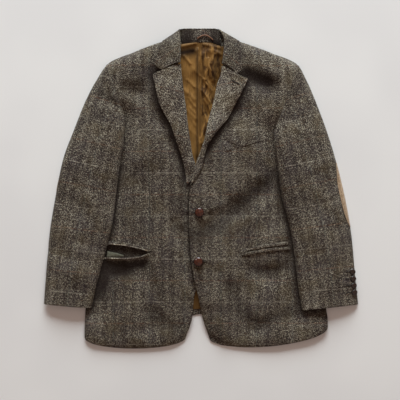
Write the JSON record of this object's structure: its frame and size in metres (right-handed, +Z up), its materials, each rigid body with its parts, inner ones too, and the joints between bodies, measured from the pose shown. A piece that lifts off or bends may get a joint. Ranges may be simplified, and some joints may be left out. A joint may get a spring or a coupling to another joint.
{
  "type": "tweed hacking jacket laid flat",
  "caption": "Single-breasted tweed hacking jacket with notched lapels, satin lining, leather buttons and suede elbow patches, laid flat on its back with its sleeves beside it.",
  "frame": {"origin": "centre of the jacket's bounding box in plan, on the surface that it lies on", "axes": "+Z up from the surface, +Y from the hem to the collar, +X to the wearer's left, where the wearer's left front overlaps"},
  "size_m": [0.753, 0.7696, 0.0339],
  "materials": {
    "tweed": "woolly tweed, grey-brown with a faint windowpane overcheck",
    "tweed_dark": "the same tweed, seen inside the neck",
    "satin": "soft satin sheen",
    "suede": "matt suede",
    "leather": "satin woven leather",
    "pocketing": "plain smooth lining"
  },
  "bodies": {
    "root": {"front_right": "tweed", "front_left": "tweed", "back_right": "tweed", "back_left": "tweed", "top_sleeve_right": "tweed", "top_sleeve_left": "tweed", "under_sleeve_right": "tweed", "under_sleeve_left": "tweed", "lapel_right": "tweed", "lapel_left": "tweed", "collar_leaf_right": "tweed", "collar_leaf_left": "tweed", "collar_back": "tweed", "collar_stand": "tweed_dark", "hanger_loop": "satin", "back_lining": "satin", "breast_welt_left": "tweed", "hip_jet_upper_right": "tweed", "hip_jet_lower_right": "tweed", "hip_jet_upper_left": "tweed", "hip_jet_lower_left": "tweed", "pocket_lining_right": "pocketing", "elbow_patch_right": "suede", "elbow_patch_left": "suede", "front_button_upper": "leather", "front_button_lower": "leather", "cuff_button_left_1": "leather", "cuff_button_left_2": "leather", "cuff_button_left_3": "leather", "cuff_button_left_4": "leather", "cuff_button_right_1": "leather", "cuff_button_right_2": "leather", "cuff_button_right_3": "leather", "cuff_button_right_4": "leather"}
  },
  "joints": []
}
